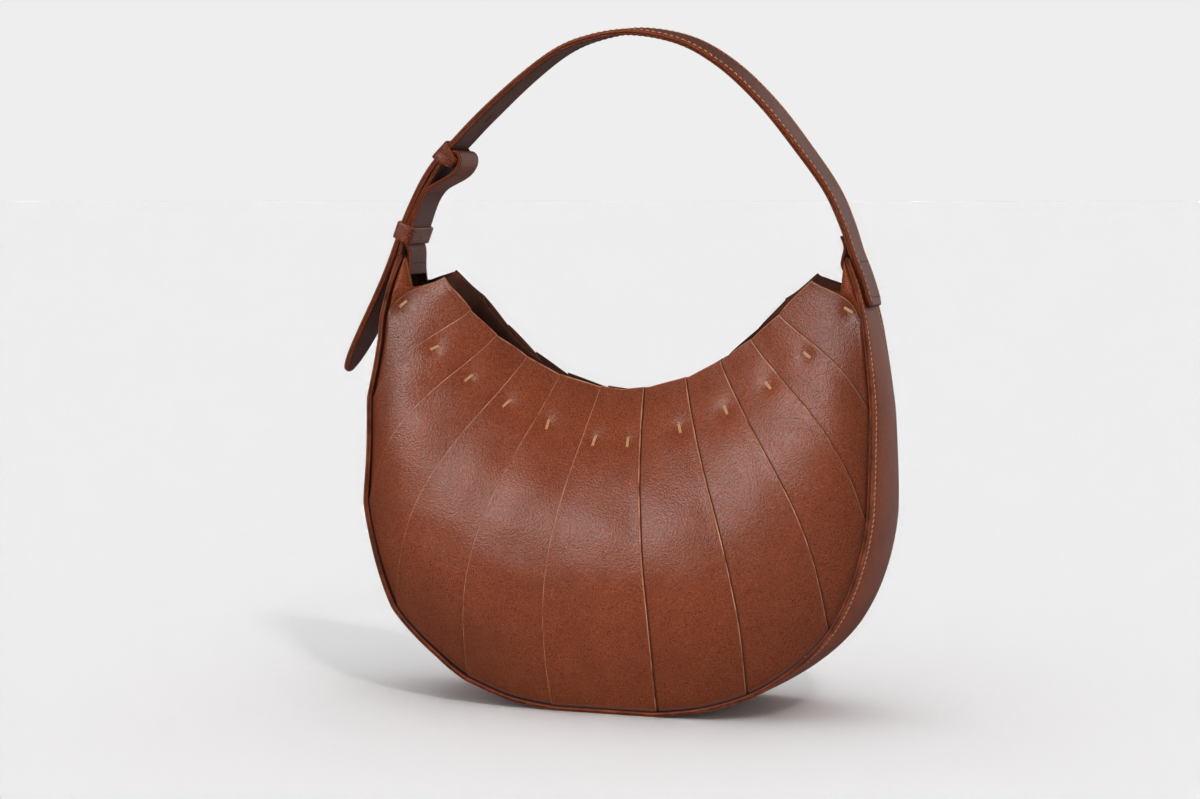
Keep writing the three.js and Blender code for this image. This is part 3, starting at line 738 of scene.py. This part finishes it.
def add_gusset():
    share = np.linspace(-1, 1, 361)[:, None]
    half = gusset_half(rim_point(share, 0)[1])
    steps = (0.15, 0.45, RIM_ROUND, 2, 2.6, 3.1, 3.5, CHANNEL_AT, 4.3, 4.8, 5.4, 6.5)
    a = spread(18, 2 * half[:, 0], steps, steps) * 2 - 1
    side = (1 - np.abs(a)) * half
    from_end = (1 - np.abs(share)) * HALF_OUTLINE
    drop = np.maximum(rounding(side, RIM_ROUND), rounding(np.broadcast_to(from_end, side.shape), RIM_ROUND))
    grids = []
    for out in (gusset_out(share, a, half) - drop, drop - GUSSET_WALL + 0 * a):
        x, z = rim_point(share, out)
        grids.append(np.stack([x, a * half, np.maximum(z, 0)], -1))
    points, faces, part = plate(*grids)
    hidden = np.median(side, 0) > RIM_SEEN
    per_row = len(hidden) - 1
    lower = np.flatnonzero(part == 1)
    part[lower[~(hidden[:-1] & hidden[1:])[np.arange(len(lower)) % per_row]]] = 0
    edge = np.clip(1 - side / 1.2, 0, 1)
    sewn = np.exp(-(((side - CHANNEL_AT) / 0.6) ** 2))
    # Darker along the sewn channel, and painted shade on the gusset's inner side away from its edge
    marks = {"edge": (edge, edge), "crease_and_shade": (0.4 * sewn, smooth((side - 0.3) / 0.8))}
    piece("gusset_skin", points, faces, [GUSSET, SHADED_INSIDE, GUSSET], part, marks, ["gusset"])


# Straps
def catmull_rom(points, per_piece=48):
    """The centripetal curve through points in the XZ plane."""
    p = np.array(points, float)
    p = np.concatenate([[2 * p[0] - p[1]], p, [2 * p[-1] - p[-2]]])
    made = []
    t = np.linspace(0, 1, per_piece, endpoint=False)[:, None]
    for a, b, c, d in zip(p, p[1:], p[2:], p[3:]):
        first, second, third = (np.linalg.norm(q) ** 0.5 for q in (b - a, c - b, d - c))
        start = ((b - a) / first - (c - a) / (first + second) + (c - b) / second) * second
        end = ((c - b) / second - (d - b) / (second + third) + (d - c) / third) * second
        square, cube = 3 * (c - b) - 2 * start - end, 2 * (b - c) + start + end
        made.append(b + start * t + square * t**2 + cube * t**3)
    made = np.concatenate([*made, p[-2:-1]])
    return Line(made[:, 0], made[:, 1])


def reach_of(line, z, left):
    """How far along the strap its left or right part passes a height."""
    past = (line.x > 0) | (line.z > z) if left else (line.x > 0) & (line.z < z)
    return line.at[np.argmax(past)] / line.length


def nearest_share(line, point):
    """How far along a line its point nearest to another lies."""
    i = np.argmin(np.hypot(line.x - point[0], line.z - point[1]))
    return line.at[i] / line.length


def below_tip(drop):
    return 1 - drop / HALF_OUTLINE


def strap_route():
    half, base = rim_point(1, ARCH_STANDOFF)[0], GUSSET_TOP + ARCH_LIFT
    points = [(across * half, base + up * ARCH_RISE) for across, up in ARCH]
    for i in range(4):
        share = below_tip(i * SEWN_LENGTH / 3)
        points.append(rim_point(share, STRAP_THICKNESS / 2 + GAP + swell(share)))
    return catmull_rom(points)


class Ribbon:
    """A flat strap along a line: points by share of its length and by distances across and through it."""

    def __init__(self, line, thickness, width, lean=lambda u: 0 * u):
        self.line, self.thickness, self.width, self.lean = line, thickness, width, lean

    def point(self, u, across, through):
        (x, z), (tx, tz) = self.line.point(u), self.line.tangent(u)
        angle = self.lean(u)
        out = across * np.sin(angle) + through * np.cos(angle)
        return np.stack([x - tz * out, across * np.cos(angle) - through * np.sin(angle), z + tx * out], -1)

    def half(self, u):
        return self.width(u * self.line.length, (1 - u) * self.line.length) / 2


def tail_width(from_tail, from_end):
    tail = np.clip(from_tail / TAIL_TAPER, 0, 1)
    end = np.clip(from_end / END_ROUND, 0, 1)
    return STRAP_WIDTH * np.sqrt(1 - (1 - tail) ** TAIL_ROUND) * mix(END_NARROW, 1, end)


def strap_lean(u):
    return math.radians(STRAP_LEAN) * np.sin(np.pi * np.clip((u - LEAN_FROM) / (LEAN_TO - LEAN_FROM), 0, 1))


def ribbon_piece(name, ribbon, stations, materials, nodes, radius, channel=0.0, columns=14, lined_to=0):
    """A strap with rounded painted edges and, where channel isn't 0, sewn channels near them. Up to the
    share lined_to of its length both its sides have the first material."""
    length = ribbon.line.length
    u = spread(stations, length, (0.05, 0.2, 0.5, 1, 1.8, 2.8), (0.2, 0.6, 1.2))
    half = np.maximum(ribbon.half(u), 0.05)
    steps = np.array((0.12, 0.4, 0.8, 1.3, 1.9, 2.4, 2.8, 3.2, 3.8)) * np.minimum(1, half / 5)[:, None]
    shares = np.concatenate([np.zeros((len(u), 1)), steps / (2 * half[:, None])], 1)
    inner = mix(shares[:, -1:], 1 - shares[:, -1:], np.linspace(0, 1, columns + 1)[1:-1])
    a = np.concatenate([shares, inner, 1 - shares[:, ::-1]], 1) * 2 - 1
    side = (1 - np.abs(a)) * half[:, None]
    from_end = np.minimum(u, 1 - u)[:, None] * length
    drop = np.maximum(rounding(side, radius), rounding(np.broadcast_to(from_end, side.shape), radius))
    sewn = channel * np.exp(-(((side - SEAM_INSET) / 0.7) ** 2)) * (half[:, None] > 6)
    across, at = a * half[:, None], np.broadcast_to(u[:, None], a.shape)
    crown = STRAP_CROWN * (1 - a * a)
    top = ribbon.point(at, across, ribbon.thickness / 2 - drop - sewn + crown)
    bottom = ribbon.point(at, across, drop + sewn - ribbon.thickness / 2 - crown)
    points, faces, part = plate(top, bottom)
    rows, width = a.shape
    painted = np.median(side, 0) < radius
    band = np.tile(painted[:-1] | painted[1:], rows - 1)
    lined = np.repeat(u[:-1] < lined_to, width - 1)
    part[len(band):2 * len(band)] = np.where(lined, 0, 1)
    part[:2 * len(band)] = np.where(np.tile(band, 2), 2, part[:2 * len(band)])
    outline = np.exp(-(((side - radius) / 0.35) ** 2)) * (half[:, None] > 3)
    outline = np.maximum(outline, 0.8 * (from_end < 0.9) * (half[:, None] > 3))
    marks = {"edge": (0 * side, 0 * side), "crease_and_shade": (0.8 * outline, 0.8 * outline)}
    return piece(f"{name}_skin", points, faces, materials, part, marks, nodes)


def leaf_line(line):
    under = (STRAP_THICKNESS + LEAF_THICKNESS) / 2 + GAP
    inside = GUSSET_WALL + GAP + LEAF_THICKNESS / 2 + LEAF_STANDOFF
    points = [line.beside(reach_of(line, z, False), under) for z in (LEAF_TOP, (LEAF_TOP + GUSSET_TOP) / 2)]
    points += [rim_point(below_tip(drop * (GUSSET_TOP - LEAF_BOTTOM)), -inside) for drop in (0.35, 1)]
    return catmull_rom(points)


OUTER_OFFSET = (STRAP_THICKNESS + LOOP_THICKNESS) / 2 + GAP
INNER_OFFSET = OUTER_OFFSET + LOOP_THICKNESS + GAP


def loop_line(line):
    keeper, knot = (reach_of(line, z, True) for z in (KEEPER_HEIGHT, KNOT_HEIGHT))
    half = KEEPER_LENGTH / 2 / line.length
    hang = rim_point(-1, -GUSSET_WALL - 2 * GAP - LOOP_THICKNESS / 2)[0]
    middle = (GUSSET_TOP + LOOP_INNER_END) / 2
    points = [(hang, z) for z in (LOOP_INNER_END, middle, GUSSET_TOP + LOOP_RISE)]
    points += [line.beside(keeper + side * half, INNER_OFFSET) for side in (-1, 0, 1)]
    points += [line.beside(mix(keeper, knot, run), out * CURL_REACH) for run, out in (*CURL, *OUTER_LEG)]
    points += [line.beside(keeper + side * half, OUTER_OFFSET) for side in (1, 0, -1)]
    points += [rim_point(-below_tip(drop * (GUSSET_TOP - LOOP_OUTER_END)), LOOP_THICKNESS / 2 + GAP)
               for drop in (0.1, 0.5, 1)]
    return catmull_rom(points)


def loop_width(from_start, from_end):
    flare = smooth((from_start - (GUSSET_TOP - LOOP_INNER_END)) / LOOP_FLARE)
    return mix(LOOP_INNER_WIDTH, STRAP_WIDTH, flare)


def band_piece(name, line, height, length, depth, taper, nodes, corner, fold=0.0, lap=0.0):
    """A leather band round the straps, rounded at its corners and edges. fold is the height of a slanting
    fold on it, and lap the height of its overlapped end."""
    middle = reach_of(line, height, True)
    low, high = -STRAP_THICKNESS / 2 - BAND_CLEARANCE, depth + BAND_CLEARANCE
    half = STRAP_WIDTH / 2 + GAP

    def loop(grow, ends):
        r = corner + grow
        turn = np.linspace(0, np.pi / 2, 7)
        d, y = [], []
        near, far, side = low + corner, high - corner, half - corner
        for quarter, (cd, cy) in enumerate(((far, side), (near, side), (near, -side), (far, -side))):
            angle = turn + quarter * np.pi / 2
            d.append(cd + r * np.cos(angle))
            y.append(cy + r * np.sin(angle))
        d, y = np.concatenate(d), np.concatenate(y)
        across = (d - low) / (high - low)
        raised = fold * np.exp(-(((ends - FOLD_AT + FOLD_SLANT * across) / FOLD_WIDTH) ** 2))
        raised = raised + lap * smooth((across - LAP_AT) / LAP_WIDTH)
        y = y + np.sign(y) * raised * smooth((np.abs(y) - half + 2) / 2) * (grow > 0.5)
        drawn = length / 2 - taper * (d - low) / (high - low)
        x, z = line.beside(middle + ends * drawn / line.length, d)
        return np.stack([x, y + 0 * x, z], -1)

    shares = spread(8, length, (0.1, 0.3, 0.6), (0.1, 0.3, 0.6)) * 2 - 1
    drops = rounding((1 - np.abs(shares)) * length / 2, 0.6)
    outer = np.stack([loop(BAND_THICKNESS - drop, end) for end, drop in zip(shares, drops)])
    inner = np.stack([loop(drop * 0.5, end) for end, drop in zip(shares, drops)])
    points, faces, part = plate(outer, inner, ring=True)
    side = np.broadcast_to(((1 - np.abs(shares)) * length / 2)[:, None], outer.shape[:2])
    edge = np.clip(1 - side / 0.6, 0, 1)
    marks = {"edge": (edge, edge)}
    return piece(f"{name}_skin", points, faces, [BAND, LINING, BAND], part, marks, nodes)


# Stitches
STITCH_RINGS, STITCH_SIDES = 7, 6


def stitches(name, starts, ends, normals, material, slot, radius=0.3, lift=0.25):
    """A row of stitches from starts to ends, each one arched over the leather and sunk at its ends."""
    s = np.linspace(0, 1, STITCH_RINGS)[None, :, None]
    starts, ends, normals = (np.asarray(v, float)[:, None, :] for v in (starts, ends, normals))
    centre = mix(starts, ends, s) + normals * (lift * np.sin(np.pi * s) ** 0.5 - 0.6 * radius)
    along = unit(ends - starts)
    beside = unit(np.cross(normals, along))
    up = np.cross(along, beside)
    thick = radius * (0.55 + 0.45 * np.sin(np.pi * s) ** 0.4)
    turns = np.linspace(0, 2 * np.pi, STITCH_SIDES, endpoint=False)
    points = np.stack([centre + thick * (np.cos(t) * beside + np.sin(t) * up) for t in turns], 2)
    count = len(points)
    index = np.arange(count * STITCH_RINGS * STITCH_SIDES).reshape(count, STITCH_RINGS, STITCH_SIDES)
    turned = np.roll(index, -1, 2)
    quads = np.stack([index[:, :-1], turned[:, :-1], turned[:, 1:], index[:, 1:]], -1).reshape(-1, 4)
    faces = [*quads.tolist(), *index[:, 0, ::-1].tolist(), *index[:, -1].tolist()]
    return piece(name, points.reshape(-1, 3), faces, [material])


def row_of_stitches(name, place, length, pitch, material, slot, fill=0.72, slant=0.0, **sizes):
    """Stitches along place(distance, sideways), which gives points and normals."""
    count = int(length / pitch)
    start = (np.arange(count) + 0.5 - fill / 2) * length / count
    end = start + fill * length / count
    a, normal = place(start, -slant)
    b, _ = place(end, slant)
    return stitches(name, a, b, normal, material, slot, **sizes)


def tack_stitches(name, face):
    starts, ends, normals = [], [], []
    rng = np.random.default_rng(5 + face.side)
    for c, r in TACKS:
        for sign in (-1, 1):
            k = min(int(c), LAST - 1)
            level = 0 if k + 1 == LAST else 1
            height = GAP + PETAL_THICKNESS + level * (PETAL_THICKNESS + GAP) + 0.05
            column, row = np.array(sign * c), np.array(r)
            normal = face.normal(column, row, height)
            step = TACK_LENGTH / 2 / face.reach(column)
            low, high = (face.point(column, row + way * step, height) for way in (-1, 1))
            beside = unit(np.cross(normal, high - low))
            turn = rng.normal(0, 0.5)
            for offset in (-TACK_SPREAD / 2, TACK_SPREAD / 2):
                starts.append(low + beside * (offset - turn))
                ends.append(high + beside * (offset + turn))
                normals.append(normal)
    return stitches(name, starts, ends, normals, TAN_THREAD, "petal", radius=0.45, lift=0.3)


def rim_stitches(name, side):
    span = RIM_SEWN * 2 * HALF_OUTLINE

    def place(distance, sideways):
        share = (distance / span * 2 - 1) * RIM_SEWN
        half = gusset_half(rim_point(share, 0)[1])
        a = 1 - (CHANNEL_AT + sideways) / half
        out = gusset_out(share, a, half)
        x, z = rim_point(share, out)
        tx, tz = OUTLINE.tangent(0.5 + share / 2)
        normal = np.stack([tz, 0 * tz, -tx], -1)
        return np.stack([x, side * a * half, np.maximum(z, 0.15)], -1), normal

    return row_of_stitches(name, place, span, RIM_PITCH, TAN_THREAD, "gusset", fill=0.8, slant=0.5,
                           radius=0.42, lift=0.35)


def strap_stitches(name, ribbon, edge, face_side, material, first, last, pitch=3.8, **sizes):
    """A row along one edge of a strap, between two shares of its length."""
    length = (last - first) * ribbon.line.length

    def place(distance, sideways):
        u = mix(first, last, distance / length)
        across = edge * (ribbon.half(u) - SEAM_INSET + sideways)
        through = face_side * (ribbon.thickness / 2 - 0.05)
        inner = ribbon.point(u, across, through - face_side)
        outer = ribbon.point(u, across, through)
        return outer, outer - inner

    return row_of_stitches(name, place, length, pitch, material, "strap", **sizes)


def cross_stitches(name, ribbon, u, face_side, material, count=7):
    """A line of stitches across a strap."""
    half = ribbon.half(np.array(u)) - 2.2
    at = np.full(count, u)
    centre = (np.arange(count) - (count - 1) / 2) * 2 * half / count
    step = 0.8 * half / count
    through = face_side * (ribbon.thickness / 2 - 0.05)
    starts, ends = (ribbon.point(at, centre + way * step, through) for way in (-1, 1))
    normals = ribbon.point(at, centre, through + face_side) - ribbon.point(at, centre, through)
    return stitches(name, starts, ends, normals, material, "strap", radius=0.42, lift=0.4)


def cut_slot(strap, line):
    """Cuts the slot that the loop's end can be pulled through."""
    u = reach_of(line, SLOT_HEIGHT, True)
    (x, z), (tx, tz) = line.point(u), line.tangent(u)
    turn = np.linspace(0, 2 * np.pi, 24, endpoint=False)
    along = (SLOT_LENGTH - SLOT_WIDTH) / 2 * np.sign(np.cos(turn)) + SLOT_WIDTH / 2 * np.cos(turn)
    across = SLOT_WIDTH / 2 * np.sin(turn)
    rings = [np.stack([x + along * tx + h * -tz, across, z + along * tz + h * tx], -1) for h in (-6, 6)]
    count = len(turn)
    faces = [[i, (i + 1) % count, count + (i + 1) % count, count + i] for i in range(count)]
    faces += [list(range(count))[::-1], list(range(count, 2 * count))]
    cutter = new_object("slot_cutter", np.concatenate(rings), faces)
    modifier = strap.modifiers.new("slot", "BOOLEAN")
    modifier.object, modifier.operation, modifier.solver = cutter, "DIFFERENCE", "EXACT"
    bpy.context.view_layer.objects.active = strap
    bpy.ops.object.modifier_apply(modifier=modifier.name)
    bpy.data.objects.remove(cutter)


def add_straps():
    line = strap_route()
    main = Ribbon(line, STRAP_THICKNESS, tail_width, strap_lean)
    strap = ribbon_piece("strap", main, 260, [STRAP, LINING, STRAP_EDGE], ["strap"],
                         radius=1.6, channel=0.25)
    cut_slot(strap, line)
    leaf = Ribbon(leaf_line(line), LEAF_THICKNESS, lambda a, b: LEAF_WIDTH + 0 * a)
    ribbon_piece("strap_leaf", leaf, 24, [STRAP, LINING, STRAP_EDGE], ["strap_leaf"], radius=0.7)
    loop = Ribbon(loop_line(line), LOOP_THICKNESS, loop_width)
    seam = nearest_share(loop.line, LINING_END)
    ribbon_piece("loop_strap", loop, 160, [LINING, STRAP, STRAP_EDGE], ["loop_strap"],
                 radius=1.0, lined_to=seam)
    cross_stitches("loop_cross_high", loop, seam - HIGH_CROSS / loop.line.length, -1, DARK_THREAD)
    band_piece("knot_band", line, KNOT_HEIGHT, KNOT_LENGTH, KNOT_DEPTH, KNOT_TAPER, ["knot_band"],
               corner=2.6, fold=1.1)
    stack = INNER_OFFSET + LOOP_THICKNESS / 2
    band_piece("keeper", line, KEEPER_HEIGHT, KEEPER_LENGTH, stack, 0, ["keeper"], corner=2.4, lap=0.7)
    for edge, side in ((-1, "front"), (1, "back")):
        strap_stitches(f"strap_stitches_{side}", main, edge, 1, RUST_THREAD,
                       first=0.06, last=0.995, radius=0.42, lift=0.4)
        strap_stitches(f"strap_under_stitches_{side}", main, edge, -1, DARK_THREAD,
                       first=0.06, last=0.9, radius=0.34, lift=0.25)
    for number, from_end in enumerate(END_CROSSES):
        cross_stitches(f"strap_cross_{number}", main, 1 - from_end / line.length, 1, DARK_THREAD)
    low = LOW_CROSS * (GUSSET_TOP - LOOP_INNER_END) / loop.line.length
    cross_stitches("loop_cross_low", loop, low, -1, DARK_THREAD)


def add_stage():
    corners = FLOOR_HALF * np.array([(-1, -1, 0), (1, -1, 0), (1, 1, 0), (-1, 1, 0)])
    floor = new_object("floor", corners, [(0, 1, 2, 3)])
    g = Graph("floor_paper")
    tone = g.blend(g.noise(3, 2), (251, 251, 251), (252, 252, 252))
    floor.data.materials.append(g.finish({"Base Color": tone, "Roughness": 0.9, "Specular IOR Level": 0.0}))
    floor.visible_glossy = False
    return floor


def add_lamp(name, turn, height, strength, width, shiny, on_floor, floor):
    """A far lamp that shines from angles right of the bag's front and above it, and is an angle wide. Only
    a shiny one is mirrored in the leather. on_floor says whether the floor is left out or lit alone."""
    data = bpy.data.lights.new(name, "SUN")
    data.energy, data.angle = strength, math.radians(width)
    made = bpy.data.objects.new(name, data)
    made.rotation_euler = (math.radians(90 - height), 0, math.radians(turn))
    made.visible_glossy = shiny
    bpy.context.scene.collection.objects.link(made)
    if on_floor:
        receivers = bpy.data.collections.new(f"{name}_receivers")
        receivers.objects.link(floor)
        receivers.collection_objects[0].light_linking.link_state = on_floor
        made.light_linking.receiver_collection = receivers


def add_world():
    """A pale ground for the camera, plain light for the bag and a dimmer one for the leather to mirror."""
    world = bpy.data.worlds.new("studio")
    world.use_nodes = True
    nodes, links = world.node_tree.nodes, world.node_tree.links
    nodes.clear()
    path = nodes.new("ShaderNodeLightPath")

    def background(colour, strength):
        node = nodes.new("ShaderNodeBackground")
        node.inputs["Color"].default_value = (*linear(colour), 1)
        node.inputs["Strength"].default_value = strength
        return node.outputs[0]

    def choose(ray, otherwise, then):
        node = nodes.new("ShaderNodeMixShader")
        links.new(path.outputs[ray], node.inputs["Fac"])
        links.new(otherwise, node.inputs[1])
        links.new(then, node.inputs[2])
        return node.outputs[0]

    white = (255, 255, 255)
    light = choose("Is Glossy Ray", background(white, WORLD_LIGHT), background(white, WORLD_SHINE))
    seen = choose("Is Camera Ray", light, background((PALE, PALE, PALE), 1))
    links.new(seen, nodes.new("ShaderNodeOutputWorld").inputs["Surface"])
    bpy.context.scene.world = world


def add_camera():
    data = bpy.data.cameras.new("camera")
    data.lens, data.sensor_width = CAMERA_LENS, CAMERA_SENSOR
    camera = bpy.data.objects.new("camera", data)
    camera.location = CAMERA_AT
    camera.rotation_euler = (math.radians(90 - CAMERA_DOWN), 0, math.radians(CAMERA_TURN))
    bpy.context.scene.collection.objects.link(camera)
    bpy.context.scene.camera = camera


bpy.context.scene.view_settings.view_transform = "Standard"
add_camera()
add_world()
floor = add_stage()
for lamp in LAMPS:
    add_lamp(*lamp, floor)
add_petals()
add_panels()
add_gusset()
add_straps()
for side_name, its_face in FACES.items():
    tack_stitches(f"{side_name}_tacks", its_face)
rim_stitches("gusset_stitches_front", FRONT)
rim_stitches("gusset_stitches_back", BACK)
